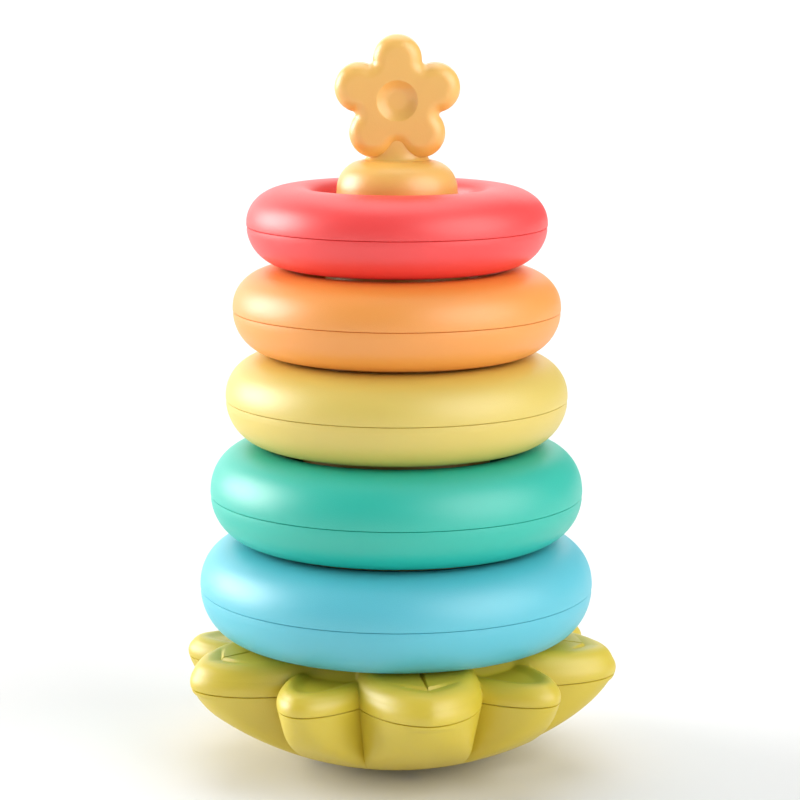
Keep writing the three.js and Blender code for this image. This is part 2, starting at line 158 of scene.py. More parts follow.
class Finish:
    """A material with one Principled shader, and the one method that adds nodes to it."""

    def __init__(self, name, **constants):
        self.material = bpy.data.materials.new(name)
        self.material.use_nodes = True
        self.tree = self.material.node_tree
        self.shader = self.tree.nodes["Principled BSDF"]
        for socket, value in constants.items():
            self.shader.inputs[socket.replace("_", " ")].default_value = value

    def node(self, kind, settings=None, sockets=None):
        made = self.tree.nodes.new(kind)
        for name, value in (settings or {}).items():
            setattr(made, name, value)
        for name, value in (sockets or {}).items():
            self.feed(made.inputs[name], value)
        return made

    def feed(self, socket, value):
        if isinstance(value, Value):
            value = value.socket
        if isinstance(value, bpy.types.NodeSocket):
            self.tree.links.new(value, socket)
        else:
            socket.default_value = value

    def place(self):
        return self.node("ShaderNodeTexCoord").outputs["Object"]

    def noise(self, scale, detail=2.0, roughness=0.5):
        made = self.node("ShaderNodeTexNoise", None,
                         {"Vector": self.place(), "Scale": scale, "Detail": detail, "Roughness": roughness})
        return Value(self, made.outputs["Fac"])

    def bump(self, height, strength, distance, under=None):
        sockets = {"Height": height, "Strength": strength, "Distance": distance}
        if under is not None:
            sockets["Normal"] = under
        return self.node("ShaderNodeBump", None, sockets).outputs["Normal"]

    def blend(self, share, first, second):
        made = self.node("ShaderNodeMix", {"data_type": "RGBA"}, {"Factor": share})
        self.feed(made.inputs[6], first)
        self.feed(made.inputs[7], second)
        return made.outputs[2]


# %% [markdown]
# ## Satin moulded plastic
# All the toy's plastic is one kind: a dense colour all the way through, with a fine spark-eroded grain that
# breaks the highlight into specks. Three noises make it: a slow one that shifts the colour a touch, as
# pigment does, a middle one in the roughness, and a fine one in the bump. A little subsurface light
# softens the folds between the rings.

# %% The plastics
GRAIN_SCALE = 2600
DRIFT_SCALE = 14
PATCH_SCALE = 90


def shade(colour, factor):
    return tuple(min(1.0, c * factor) for c in colour) + (1.0,)


def satin_plastic(name, colour, roughness=0.44, grain=0.26, glow=0.12):
    finish = Finish(name, IOR=1.5, Specular_IOR_Level=0.95, Subsurface_Weight=glow, Subsurface_Scale=0.004,
                    Subsurface_Radius=(1.0, 0.55, 0.35))
    drift = finish.noise(DRIFT_SCALE, 3)
    patches = finish.noise(PATCH_SCALE, 4, 0.6)
    grain_height = finish.noise(GRAIN_SCALE, 2, 0.6)
    colour_mix = finish.blend(drift, shade(colour, 0.95), shade(colour, 1.05))
    finish.feed(finish.shader.inputs["Base Color"], colour_mix)
    finish.feed(finish.shader.inputs["Roughness"], patches * 0.08 + (roughness - 0.04))
    slow = finish.bump(patches, 0.08, 0.0004)
    finish.feed(finish.shader.inputs["Normal"], finish.bump(grain_height, grain, 0.0002, slow))
    return finish.material


PLASTICS = {
    "red_ring": satin_plastic("red_plastic", (0.88, 0.040, 0.040)),
    "orange_ring": satin_plastic("orange_plastic", (0.85, 0.32, 0.050)),
    "yellow_ring": satin_plastic("yellow_plastic", (0.69, 0.53, 0.105)),
    "green_ring": satin_plastic("green_plastic", (0.004, 0.47, 0.36)),
    "blue_ring": satin_plastic("blue_plastic", (0.085, 0.50, 0.61)),
}
LEAF_PLASTIC = satin_plastic("leaf_plastic", (0.63, 0.485, 0.028))
POST_PLASTIC = satin_plastic("post_plastic", (0.84, 0.48, 0.105), roughness=0.36)
print("plastics:", len(PLASTICS) + 2)

# %% [markdown]
# ## Metal inside and underneath
# The screws are zinc-plated steel with fine turning marks, and the weight is plain pressed iron, darker and
# rougher, with a slow mottle.

# %% The metals
def turned_steel():
    finish = Finish("zinc_steel", Metallic=1.0)
    marks = finish.noise(1800, 3, 0.7)
    haze = finish.noise(240, 3)
    finish.feed(finish.shader.inputs["Base Color"],
                finish.blend(haze, (0.52, 0.52, 0.50, 1), (0.66, 0.66, 0.67, 1)))
    finish.feed(finish.shader.inputs["Roughness"], haze * 0.2 + 0.22)
    finish.feed(finish.shader.inputs["Normal"], finish.bump(marks, 0.25, 0.0001))
    return finish.material


def pressed_iron():
    finish = Finish("pressed_iron", Metallic=0.85)
    mottle = finish.noise(160, 5, 0.65)
    finish.feed(finish.shader.inputs["Base Color"],
                finish.blend(mottle, (0.16, 0.15, 0.15, 1), (0.30, 0.30, 0.31, 1)))
    finish.feed(finish.shader.inputs["Roughness"], mottle * 0.25 + 0.42)
    finish.feed(finish.shader.inputs["Normal"], finish.bump(mottle, 0.4, 0.0003))
    return finish.material


STEEL = turned_steel()
IRON = pressed_iron()

# %% [markdown]
# ## Mesh helpers
# Most pieces are grids: rows of points, one row after another round a closed loop. A grid whose rows also
# close on themselves is a solid with no edge anywhere. A solid whose volume comes out negative is inside
# out, so its faces are turned.

# %% Mesh helpers
SHARP_ANGLE = math.radians(38)


def signed_volume(mesh):
    mesh.calc_loop_triangles()
    corners = np.array([v.co for v in mesh.vertices])
    triangles = np.array([t.vertices[:] for t in mesh.loop_triangles])
    a, b, c = (corners[triangles[:, i]] for i in range(3))
    return float(np.einsum("ij,ij->i", a, np.cross(b, c)).sum() / 6)


def finished(mesh):
    """Turn an inside-out mesh, shade it smooth and keep its real corners sharp."""
    if signed_volume(mesh) < 0:
        mesh.flip_normals()
    mesh.shade_smooth()
    mesh.set_sharp_from_angle(angle=SHARP_ANGLE)
    return mesh


def grid_mesh(name, points, poles=False):
    """A closed solid from points[row, column]: columns go round, and the last row meets the first.
    With poles, the first and last rows each lie in one point on the axis instead."""
    rows, columns = points.shape[:2]
    across = np.arange(columns)
    after = (across + 1) % columns
    faces = []
    for row in range(rows if not poles else rows - 1):
        low = row * columns
        high = ((row + 1) % rows) * columns
        faces.append(np.stack([low + across, low + after, high + after, high + across], 1))
    mesh = bpy.data.meshes.new(name)
    mesh.from_pydata(points.reshape(-1, 3).tolist(), [], np.concatenate(faces).tolist())
    if poles:
        weld(mesh)
    mesh.update()
    return finished(mesh)


def weld(mesh, distance=1e-7):
    work = bmesh.new()
    work.from_mesh(mesh)
    bmesh.ops.remove_doubles(work, verts=work.verts, dist=distance)
    work.to_mesh(mesh)
    work.free()


def turned_grid(name, outline, steps, poles=False):
    """A turned solid from an outline of (radius, z) points."""
    turn = np.linspace(0, 2 * math.pi, steps, endpoint=False)
    radius = np.array([p[0] for p in outline])[:, None]
    height = np.array([p[1] for p in outline])[:, None] + 0 * turn
    points = np.stack([radius * np.cos(turn), radius * np.sin(turn), height], 2)
    return grid_mesh(name, points, poles)


def show(name, mesh, material, body, replaced):
    """Put a finished mesh in the scene on its body, in place of its CAD nodes."""
    piece = bpy.data.objects.new(name, mesh)
    bpy.context.scene.collection.objects.link(piece)
    mesh.materials.clear()
    mesh.materials.append(material)
    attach(piece, body)
    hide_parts(*replaced)
    print(f"{name}: {len(mesh.vertices)} points, {signed_volume(mesh) * 1e6:.1f} cm3")
    return piece


def cut(mesh, tool, operation):
    """Join or cut one closed mesh with another, and give the result as a plain mesh."""
    holder = bpy.data.objects.new("boolean_body", mesh)
    helper = bpy.data.objects.new("boolean_tool", tool)
    for thing in (holder, helper):
        bpy.context.scene.collection.objects.link(thing)
    modifier = holder.modifiers.new("boolean", "BOOLEAN")
    modifier.operation = operation
    modifier.object = helper
    modifier.solver = "MANIFOLD"
    graph = bpy.context.evaluated_depsgraph_get()
    result = bpy.data.meshes.new_from_object(holder.evaluated_get(graph))
    for thing in (holder, helper):
        bpy.data.objects.remove(thing)
    result.name = mesh.name
    return finished(result)


# %% [markdown]
# ## Geometry Nodes helper
# A tree is built once with named inputs. Setting it on an object, taking the result as a plain mesh and
# removing the modifier leaves nothing live behind.

# %% Geometry Nodes helper
class Recipe:
    """A Geometry Nodes tree with one geometry input and named inputs for its sizes."""

    def __init__(self, name, sizes):
        self.tree = bpy.data.node_groups.new(name, "GeometryNodeTree")
        face = self.tree.interface
        face.new_socket("Geometry", in_out="INPUT", socket_type="NodeSocketGeometry")
        for label, kind in sizes.items():
            face.new_socket(label, in_out="INPUT", socket_type=kind)
        face.new_socket("Geometry", in_out="OUTPUT", socket_type="NodeSocketGeometry")
        self.given = self.tree.nodes.new("NodeGroupInput").outputs
        self.result = self.tree.nodes.new("NodeGroupOutput")

    def node(self, kind, settings=None, sockets=None):
        made = self.tree.nodes.new(kind)
        for name, value in (settings or {}).items():
            setattr(made, name, value)
        for name, value in (sockets or {}).items():
            if isinstance(value, bpy.types.NodeSocket):
                self.tree.links.new(value, made.inputs[name])
            else:
                made.inputs[name].default_value = value
        return made

    def finish(self, geometry):
        whole = self.node("GeometryNodeRealizeInstances", None, {"Geometry": geometry})
        painted = self.node("GeometryNodeSetMaterial", None,
                            {"Geometry": whole.outputs[0], "Material": self.given["Material"]})
        self.tree.links.new(painted.outputs[0], self.result.inputs[0])

    def make(self, name, seed_mesh, values):
        holder = bpy.data.objects.new(name, seed_mesh)
        bpy.context.scene.collection.objects.link(holder)
        modifier = holder.modifiers.new(name, "NODES")
        modifier.node_group = self.tree
        for item in self.tree.interface.items_tree:
            if item.in_out == "INPUT" and item.name in values:
                modifier[item.identifier] = values[item.name]
        graph = bpy.context.evaluated_depsgraph_get()
        mesh = bpy.data.meshes.new_from_object(holder.evaluated_get(graph))
        bpy.data.objects.remove(holder)
        mesh.name = name
        return finished(mesh)


# %% [markdown]
# ## The rings
# Each ring is two moulded half shells, joined at a parting line just under its widest part. Its
# section follows a rule: a superellipse, rounder outside the crest and steeper towards the hole. So one
# section is worked out from the ring's own sizes, and a Geometry Nodes tree sweeps it round the post.
# Turning it there keeps the sweep's fineness a named input, and a lathe by hand would do the same with
# more code. TOUCH lets each shell reach a little past its CAD height, so less of a gap shows where rings
# meet. It must stay under half the CAD clearance of 0.1 mm, or neighbouring rings would overlap.

# %% The sweep tree
sweep = Recipe("sweep_round_post", {
    "Crest Radius": "NodeSocketFloat",
    "Steps": "NodeSocketInt",
    "Material": "NodeSocketMaterial",
})
section_curve = sweep.node("GeometryNodeMeshToCurve", None, {"Mesh": sweep.given["Geometry"]})
round_path = sweep.node("GeometryNodeCurvePrimitiveCircle", None, {
    "Resolution": sweep.given["Steps"],
    "Radius": sweep.given["Crest Radius"],
})
swept = sweep.node("GeometryNodeCurveToMesh", None, {
    "Curve": round_path.outputs["Curve"],
    "Profile Curve": section_curve.outputs["Curve"],
})
sweep.finish(swept.outputs["Mesh"])

# %% Ring sections
CREST_INSET = 14.8 * MM
SEAM_BELOW_EQUATOR = 0.7 * MM
UPPER_SHELL_LIFT = 0.55 * MM
OUTER_SQUARENESS = 2.1
INNER_SQUARENESS = 3.0
RING_STEPS = 256
SECTION_STEPS = 44
RING_PARTING = 0.08 * MM
TOUCH = 0.04 * MM
LIP = 0.65 * MM


def superellipse_arc(crest, outward, inward, height, side, low, steps):
    """Points from the outside over the crest to the hole, leaving out what lies nearer the seam than low."""
    points = []
    for angle in np.linspace(0, math.pi, steps + 1):
        across, along = math.cos(angle), math.sin(angle)
        squareness, width = (OUTER_SQUARENESS, outward) if across > 0 else (INNER_SQUARENESS, inward)
        r = crest + math.copysign(width * abs(across) ** (2 / squareness), across)
        z = side * height * max(along, 0) ** (2 / squareness)
        if side * z > side * low:
            points.append((r, z))
    return points


def ring_shell_section(outer, hole, height, side):
    """The closed section of one half shell, about the ring's equator. side is 1 for the upper shell."""
    crest = outer - CREST_INSET
    seam = -SEAM_BELOW_EQUATOR + side * RING_PARTING / 2
    lip = LIP if side < 0 else LIP / 5
    skin = superellipse_arc(crest, CREST_INSET, crest - hole, height, side, seam + side * lip, SECTION_STEPS)
    inside = superellipse_arc(crest, CREST_INSET - WALL, crest - hole - WALL, height - WALL, side,
                              seam + side * lip, SECTION_STEPS // 2)
    return [
        (outer - lip, seam), (outer - lip / 3, seam + side * lip / 3),
        *skin,
        (hole + lip / 3, seam + side * lip / 3), (hole + lip, seam), (hole + WALL, seam),
        *reversed(inside),
        (outer - WALL, seam),
    ]


def section_mesh(points, crest, equator):
    """The section as a loop of edges: the sweep reads x outwards and y downwards from the crest circle."""
    mesh = bpy.data.meshes.new("section")
    corners = [(r - crest, -(z + equator), 0) for r, z in points]
    edges = [(i, (i + 1) % len(points)) for i in range(len(points))]
    mesh.from_pydata(corners, edges, [])
    return mesh


# %% Make the rings
for ring, plastic in PLASTICS.items():
    upper, lower = f"{ring}_upper_shell", f"{ring}_lower_shell"
    hole, outer = reach(upper)
    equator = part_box(upper)[0].z + UPPER_SHELL_LIFT
    for side, node in ((1, upper), (-1, lower)):
        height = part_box(upper)[1].z - equator if side > 0 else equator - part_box(lower)[0].z
        height += TOUCH
        section = ring_shell_section(outer, hole, height, side)
        mesh = sweep.make(f"{node}_fine", section_mesh(section, outer - CREST_INSET, equator), {
            "Crest Radius": outer - CREST_INSET,
            "Steps": RING_STEPS,
            "Material": plastic,
        })
        show(f"{node}_fine", mesh, plastic, ring, [node])

# %% [markdown]
# ## The leaf rim
# The base's rim is ten leaves cut from one moulding: five big ones with engraved veins and five small ones,
# hollowed like spoons, between them. In plan a leaf is half a superellipse, so its distance from any point
# is a formula, and the height of the moulding is a rounded step over that distance. The tallest leaf at
# each point wins, which leaves a crease wherever two leaves meet.

# %% The leaves in plan
LEAF_PAIRS = 5
PAIR_ANGLE = math.tau / LEAF_PAIRS
LEAF_TURN = math.radians(9 - 90)
SEAM_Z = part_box("bottom_shell")[1].z + 0.15 * MM
LEAF_TOP_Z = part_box("leaf_cover")[1].z
BIG_TIP = reach("bottom_shell")[1]
SMALL_TIP = BIG_TIP - 2.4 * MM
BIG_LEAF = {"tip": BIG_TIP, "waist": 45.0 * MM, "half_width": 20.0 * MM, "power": 1.8}
SMALL_LEAF = {"tip": SMALL_TIP, "waist": 40.0 * MM, "half_width": 15.3 * MM, "power": 1.9}
HUB_RADIUS = 41.5 * MM


def leaf_depth(leaf, along, across):
    """How far inside a leaf's outline a point lies, in metres; negative outside it."""
    n = leaf["power"]
    u = np.maximum((along - leaf["waist"]) / (leaf["tip"] - leaf["waist"]), 0)
    v = np.maximum(np.abs(across) / leaf["half_width"], 1e-6)
    rho = (u**n + v**n) ** (1 / n)
    slope_u = (u / rho) ** (n - 1) / (leaf["tip"] - leaf["waist"])
    slope_v = (v / rho) ** (n - 1) / leaf["half_width"]
    return (1 - rho) / np.hypot(slope_u, slope_v)


def leaf_places(radius, angle):
    """Along and across coordinates in the nearest big leaf and in the nearest small leaf."""
    places = []
    for offset in (0, PAIR_ANGLE / 2):
        off = (angle - offset + PAIR_ANGLE / 2) % PAIR_ANGLE - PAIR_ANGLE / 2
        places.append((radius * np.cos(off), radius * np.sin(off)))
    return places


def rim_radius(angle):
    """Where a ray from the axis leaves the rim, by halving the interval that holds it."""
    low = np.full_like(angle, HUB_RADIUS)
    high = np.full_like(angle, BIG_TIP + 0.001)
    for _ in range(40):
        middle = (low + high) / 2
        big, small = leaf_places(middle, angle)
        inside = np.maximum(leaf_depth(BIG_LEAF, *big), leaf_depth(SMALL_LEAF, *small)) > 0
        low = np.where(inside, middle, low)
        high = np.where(inside, high, middle)
    return low


def leaf_angles(half_big, small):
    """Column angles round the rim: denser at the big leaves' midribs and at the creases."""
    trial = np.linspace(0, PAIR_ANGLE / 2, 4001)
    crease = trial[np.argmin(rim_radius(trial))]
    share = np.linspace(0, 1, half_big, endpoint=False)
    eased = crease * (share + 0.09 * np.sin(math.tau * share) * -1)
    ramp = np.linspace(0, 1, small, endpoint=False)
    middle = crease + (PAIR_ANGLE - 2 * crease) * (ramp - 0.05 * np.sin(math.tau * ramp))
    last = PAIR_ANGLE - eased[::-1]
    period = np.concatenate([eased, middle, last[:-1]])
    period = np.append(period[:half_big + small], PAIR_ANGLE - crease)
    period = np.concatenate([period, PAIR_ANGLE - eased[:0:-1]])
    return np.concatenate([period + i * PAIR_ANGLE for i in range(LEAF_PAIRS)]), crease


angles, CREASE = leaf_angles(62, 62)
rim = rim_radius(angles)
print("crease at", round(math.degrees(CREASE), 2), "degrees, radius", round(rim.min() / MM, 1), "mm")

# %% [markdown]
# ## The top of the leaves
# A big leaf slopes gently outwards and rolls over a broad round edge. Its midrib is a tapering groove, and
# from its end one pair of side veins sweeps back: each is a step, steep towards the middle of the toy and
# easing out towards the tip. A small leaf lies lower and dips behind its rim.

# %% Height of the leaves
EDGE_WIDTH = 6.2 * MM
EDGE_SQUARENESS = 2.3
BIG_SLOPE_START = 48.0 * MM
BIG_SLOPE = 0.085
SMALL_TOP_DROP = 3.7 * MM
SMALL_HOLLOW = 1.3 * MM
VEIN_JUNCTION = 62.8 * MM
VEIN_SWEEP = 0.45
MIDRIB_END = 66.0 * MM
MIDRIB_HALF_WIDTH = 1.15 * MM
MIDRIB_DEPTH = 1.1 * MM
SIDE_VEIN_DEPTH = 0.85 * MM
SIDE_VEIN_REACH = 13.5 * MM
SIDE_VEIN_FADE = 6.5 * MM


def smooth(x):
    x = np.clip(x, 0, 1)
    return x * x * (3 - 2 * x)


def rounded_step(depth):
    share = np.clip(depth / EDGE_WIDTH, 0, 1)
    return np.maximum(1 - (1 - share) ** EDGE_SQUARENESS, 0) ** (1 / EDGE_SQUARENESS)


def vein_along(across):
    """Where the side vein lies along a leaf, at a distance across it."""
    return VEIN_JUNCTION - VEIN_SWEEP * np.abs(across)


def vein_cut(along, across):
    taper = np.clip((MIDRIB_END - along) / (MIDRIB_END - HUB_RADIUS), 0, 1)
    half_width = MIDRIB_HALF_WIDTH * (0.15 + 0.85 * taper)
    groove = np.clip(1 - np.abs(across) / half_width, 0, 1)
    midrib = MIDRIB_DEPTH * np.minimum(1, 4 * taper) * groove**0.8
    past = along - vein_along(across) + 1e-6
    fade = 1 - smooth(np.abs(across) / SIDE_VEIN_REACH)
    valley = np.where(past >= 0, np.clip(1 - past / SIDE_VEIN_FADE, 0, 1) ** 2, 0)
    return np.maximum(midrib, SIDE_VEIN_DEPTH * fade * valley)


def cover_height(radius, angle, inset=0.0):
    """Height of the leaf cover above its parting plane, set in from the surface by inset."""
    big, small = leaf_places(radius, angle)
    big_top = LEAF_TOP_Z - SEAM_Z - BIG_SLOPE * np.maximum(radius - BIG_SLOPE_START, 0) - inset
    small_depth = leaf_depth(SMALL_LEAF, *small) - inset
    small_top = LEAF_TOP_Z - SEAM_Z - SMALL_TOP_DROP - inset
    small_top = small_top - SMALL_HOLLOW * smooth((small_depth - 0.45 * EDGE_WIDTH) / (7 * MM))
    big_height = big_top * rounded_step(leaf_depth(BIG_LEAF, *big) - inset)
    if inset == 0.0:
        big_height = big_height - vein_cut(*big) * rounded_step(leaf_depth(BIG_LEAF, *big))
    small_height = small_top * rounded_step(small_depth)
    leaves = np.maximum(big_height, small_height)
    hub = 1 - smooth((radius - HUB_RADIUS) / (5 * MM))
    return leaves * (1 - hub) + (LEAF_TOP_Z - SEAM_Z - inset) * hub


# %% Make the leaf cover
VEIN_ROWS = 30
LAND_ROWS = 18
EDGE_ROWS = 30
STEP_WIDTH = 0.8 * MM
BULGE = 0.40 * MM
BULGE_HEIGHT = 2.4 * MM


def cover_rows():
    """Radii of the rows over the leaves: one row runs exactly along the side veins, and the last ones
    crowd towards the rim, where the edge is steepest."""
    off = (angles + PAIR_ANGLE / 2) % PAIR_ANGLE - PAIR_ANGLE / 2
    vein = VEIN_JUNCTION / (np.cos(off) + VEIN_SWEEP * np.abs(np.sin(off)))
    land = HUB_RADIUS + 0.30 * (rim - HUB_RADIUS)
    weight = smooth((CREASE - np.abs(off)) / (0.35 * CREASE))
    vein = weight * vein + (1 - weight) * land
    edge = np.maximum(rim - 0.9 * EDGE_WIDTH, vein + 0.25 * (rim - vein))
    rows = [HUB_RADIUS + (vein - STEP_WIDTH - HUB_RADIUS) * s for s in np.linspace(0, 1, VEIN_ROWS)]
    rows += [vein + (edge - vein) * s for s in np.linspace(0, 1, LAND_ROWS)]
    for s in np.linspace(1, 0, EDGE_ROWS + 1)[1:]:
        rows.append(rim - (rim - edge) * (1 - (1 - s**EDGE_SQUARENESS) ** (1 / EDGE_SQUARENESS)))
    return rows


def ring_of(radius, height):
    turn = angles + LEAF_TURN
    return np.stack([radius * np.cos(turn), radius * np.sin(turn), height + 0 * turn], 1)


def cover_row(radius):
    """One row of the skin. Low on the edge it bulges a little beyond the parting line."""
    lift = np.maximum(cover_height(radius, angles), PARTING / 2)
    bulge = BULGE * np.clip(1 - ((lift - BULGE_HEIGHT) / BULGE_HEIGHT) ** 2, 0, 1)
    return ring_of(radius + bulge, SEAM_Z + lift)


even = np.ones_like(angles)
HUB_RIM = 39.2 * MM
HUB_FLOOR_Z = 37.0 * MM
CORE_RADIUS = 32 * MM
rows = [
    ring_of(CORE_RADIUS * even, HUB_FLOOR_Z),
    ring_of(HUB_RIM * even, HUB_FLOOR_Z),
    ring_of(HUB_RIM * even, LEAF_TOP_Z - 0.5 * MM),
    ring_of((HUB_RIM + 0.15 * MM) * even, LEAF_TOP_Z - 0.15 * MM),
    ring_of((HUB_RIM + 0.5 * MM) * even, LEAF_TOP_Z),
]
rows += [cover_row(r) for r in cover_rows()]
rows.append(ring_of(rim - 0.25 * MM, SEAM_Z + PARTING / 2))
for s in np.linspace(0, 1, 9):
    inner = (rim - WALL) + (HUB_RADIUS - 0.5 * MM - (rim - WALL)) * s
    lift = np.maximum(cover_height(inner, angles, WALL), PARTING / 2)
    rows.append(ring_of(inner, SEAM_Z + lift))
rows.append(ring_of((CORE_RADIUS + 4 * MM) * even, HUB_FLOOR_Z - WALL))
rows.append(ring_of(CORE_RADIUS * even, HUB_FLOOR_Z - WALL))
show("leaf_cover_fine", grid_mesh("leaf_cover_fine", np.stack(rows)), LEAF_PLASTIC, "base",
     ["leaf_cover"])

# %% [markdown]
# ## Copies on a circle
# The base has five screws, and each has its own boss and well. One of each is made at the axis, and a
# Geometry Nodes tree puts a copy on every point of a circle, so the count and the radius are plain inputs.

# %% The circle tree
circle = Recipe("copies_on_circle", {
    "Circle": "NodeSocketFloat",
    "Count": "NodeSocketInt",
    "First Turn": "NodeSocketFloat",
    "Material": "NodeSocketMaterial",
})
places = circle.node("GeometryNodeMeshCircle", None, {
    "Vertices": circle.given["Count"],
    "Radius": circle.given["Circle"],
})
turning = circle.node("ShaderNodeCombineXYZ", None, {"Z": circle.given["First Turn"]})
turned_places = circle.node("GeometryNodeTransform", None, {
    "Geometry": places.outputs["Mesh"],
    "Rotation": turning.outputs[0],
})
on_places = circle.node("GeometryNodeInstanceOnPoints", None, {
    "Points": turned_places.outputs["Geometry"],
    "Instance": circle.given["Geometry"],
})
circle.finish(on_places.outputs["Instances"])

# %% [markdown]
# ## The round bottom
# The lower moulding is a slice of a ball, so the toy can rock. Under each leaf a side leans in from the
# rim and runs softly into the ball, and the sides of neighbouring leaves meet in creases that end near
# the foot. So at any height the radius is the smaller of two: the leaning side's and the ball's.
# Five recessed wells take the screws.

# %% Make the bottom shell
BOWL_RADIUS = 106.3 * MM
BOWL_CENTRE_Z = 105.5 * MM
SIDE_DRAFT = 0.36
SIDE_BLEND = 6.0 * MM
LIP_HEIGHT = 0.55 * MM


def bowl_radius(z, rim_radius, inset=0.0):
    depth = SEAM_Z - z
    side = rim_radius - inset - SIDE_DRAFT * depth
    ball = math.sqrt((BOWL_RADIUS - inset) ** 2 - (BOWL_CENTRE_Z - z) ** 2)
    blend = max(min(SIDE_BLEND, 2.5 * depth), 1e-6)
    share = np.maximum(0, 1 - np.abs(side - ball) / blend)
    return np.minimum(side, ball) - share**2 * blend / 4


def bowl_heights(inset, steps, foot_steps):
    """Heights of the rows: close together under the rim, then even steps of radius over the foot."""
    top, low = SEAM_Z - LIP_HEIGHT, 6.0 * MM
    heights = [top + (low - top) * s**1.35 for s in np.linspace(0, 1, steps)]
    radius = BOWL_RADIUS - inset
    flat = inset if inset else 0.0
    outer = math.sqrt(radius**2 - (BOWL_CENTRE_Z - low) ** 2)
    inner = math.sqrt(radius**2 - (BOWL_CENTRE_Z - flat) ** 2)
    for r in np.linspace(outer, inner, foot_steps + 1)[1:]:
        heights.append(BOWL_CENTRE_Z - math.sqrt(radius**2 - r**2))
    return heights


rows = [ring_of(0 * even, 0.0)]
rows += [ring_of(bowl_radius(z, rim), z) for z in reversed(bowl_heights(0.0, 44, 14))]
rows.append(ring_of(rim - 0.12 * MM, SEAM_Z - 0.35 * MM))
rows.append(ring_of(rim - 0.45 * MM, SEAM_Z - PARTING / 2))
rows.append(ring_of(rim - WALL, SEAM_Z - PARTING / 2))
rows += [ring_of(bowl_radius(z, rim, WALL), z) for z in bowl_heights(WALL, 10, 5)]
rows.append(ring_of(0 * even, WALL))
bottom = grid_mesh("bottom_shell_fine", np.stack(rows), poles=True)

SCREW_CIRCLE = 26 * MM
WELL_RADIUS = 3.4 * MM
BOSS_RADIUS = 4.6 * MM
BOSS_TOP_Z = 21 * MM
SEAT_Z = 8.9 * MM
SHANK_HOLE = 1.8 * MM
WELL_STEPS = 40


def on_circle(name, single, material):
    """Five copies of a solid, one at each screw's place."""
    return circle.make(name, single, {
        "Circle": SCREW_CIRCLE, "Count": LEAF_PAIRS, "First Turn": LEAF_TURN, "Material": material})


boss = turned_grid("boss", [(0, 4.2 * MM), (BOSS_RADIUS, 4.2 * MM), (BOSS_RADIUS, BOSS_TOP_Z), (0, BOSS_TOP_Z)],
                   WELL_STEPS, poles=True)
well = turned_grid("well", [(0, -1 * MM), (WELL_RADIUS, -1 * MM), (WELL_RADIUS, SEAT_Z), (SHANK_HOLE, SEAT_Z),
                            (SHANK_HOLE, BOSS_TOP_Z + MM), (0, BOSS_TOP_Z + MM)], WELL_STEPS, poles=True)
bosses = on_circle("bosses", boss, LEAF_PLASTIC)
wells = on_circle("wells", well, LEAF_PLASTIC)
bottom = cut(cut(bottom, bosses, "UNION"), wells, "DIFFERENCE")
show("bottom_shell_fine", bottom, LEAF_PLASTIC, "base", ["bottom_shell"])

# %% [markdown]
# ## The post
# Only the rounded shoulder of the post shows while the rings are on, but the whole cone shows when they are
# lifted. It is a turned shell whose sides follow the CAD cone.

# %% Make the post
POST_FOOT_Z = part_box("post")[0].z
POST_TOP_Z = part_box("post")[1].z
POST_FOOT_RADIUS = reach("post")[1]
SHOULDER_Z = POST_TOP_Z - 9.6 * MM
SHOULDER_RADIUS = 19.4 * MM
POST_FLAT_RADIUS = 9.6 * MM


def post_side(inset, steps):
    points = [(POST_FOOT_RADIUS - inset, POST_FOOT_Z)]
    for s in np.linspace(0.02, 1, 12):
        z = POST_FOOT_Z + (SHOULDER_Z - POST_FOOT_Z) * s
        points.append((POST_FOOT_RADIUS + (SHOULDER_RADIUS - POST_FOOT_RADIUS) * s - inset, z))
    top = POST_TOP_Z - inset
    for angle in np.linspace(0, math.pi / 2, steps)[1:]:
        reach_in = SHOULDER_RADIUS - inset - POST_FLAT_RADIUS
        points.append((POST_FLAT_RADIUS + reach_in * math.cos(angle) ** 0.95,
                       SHOULDER_Z + (top - SHOULDER_Z) * math.sin(angle) ** 0.95))
    return points


post_outline = [*post_side(0.0, 26), (0, POST_TOP_Z), (0, POST_TOP_Z - WALL), *reversed(post_side(WALL, 10))]
steps_round = 192
turn = np.linspace(0, math.tau, steps_round, endpoint=False)
post_points = np.array(post_outline)
post_grid = np.stack([
    post_points[:, :1] * np.cos(turn), post_points[:, :1] * np.sin(turn), post_points[:, 1:] + 0 * turn], 2)
post_mesh = grid_mesh("post_fine", post_grid)
weld(post_mesh)
show("post_fine", finished(post_mesh), POST_PLASTIC, "base", ["post"])

# %% [markdown]
# ## The flower
# Five round petals in one thick plate, with a round dimple in the middle of each face. Like a leaf's, its
# height is a rounded step over the distance from its outline, so the notches between the petals die out
# towards a flat face. It is moulded as a front and a back half, each with half of the neck.

# %% Make the flower
FLOWER_LOW, FLOWER_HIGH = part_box("flower_front")[0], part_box("flower_front")[1]
PETALS = 5
PETAL_DISTANCE = 12.8 * MM
PETAL_RADIUS = 7.8 * MM
FLOWER_Z = FLOWER_HIGH.z - PETAL_DISTANCE - PETAL_RADIUS
FLOWER_HALF = -FLOWER_LOW.y
EDGE_ROUNDING = 4.6 * MM
DIMPLE_RADIUS = 6.5 * MM
DIMPLE_FLOOR = 2.6 * MM
DIMPLE_DEPTH = 1.9 * MM
FLOWER_TURNS = 80 * PETALS
petal_step = math.tau / PETALS


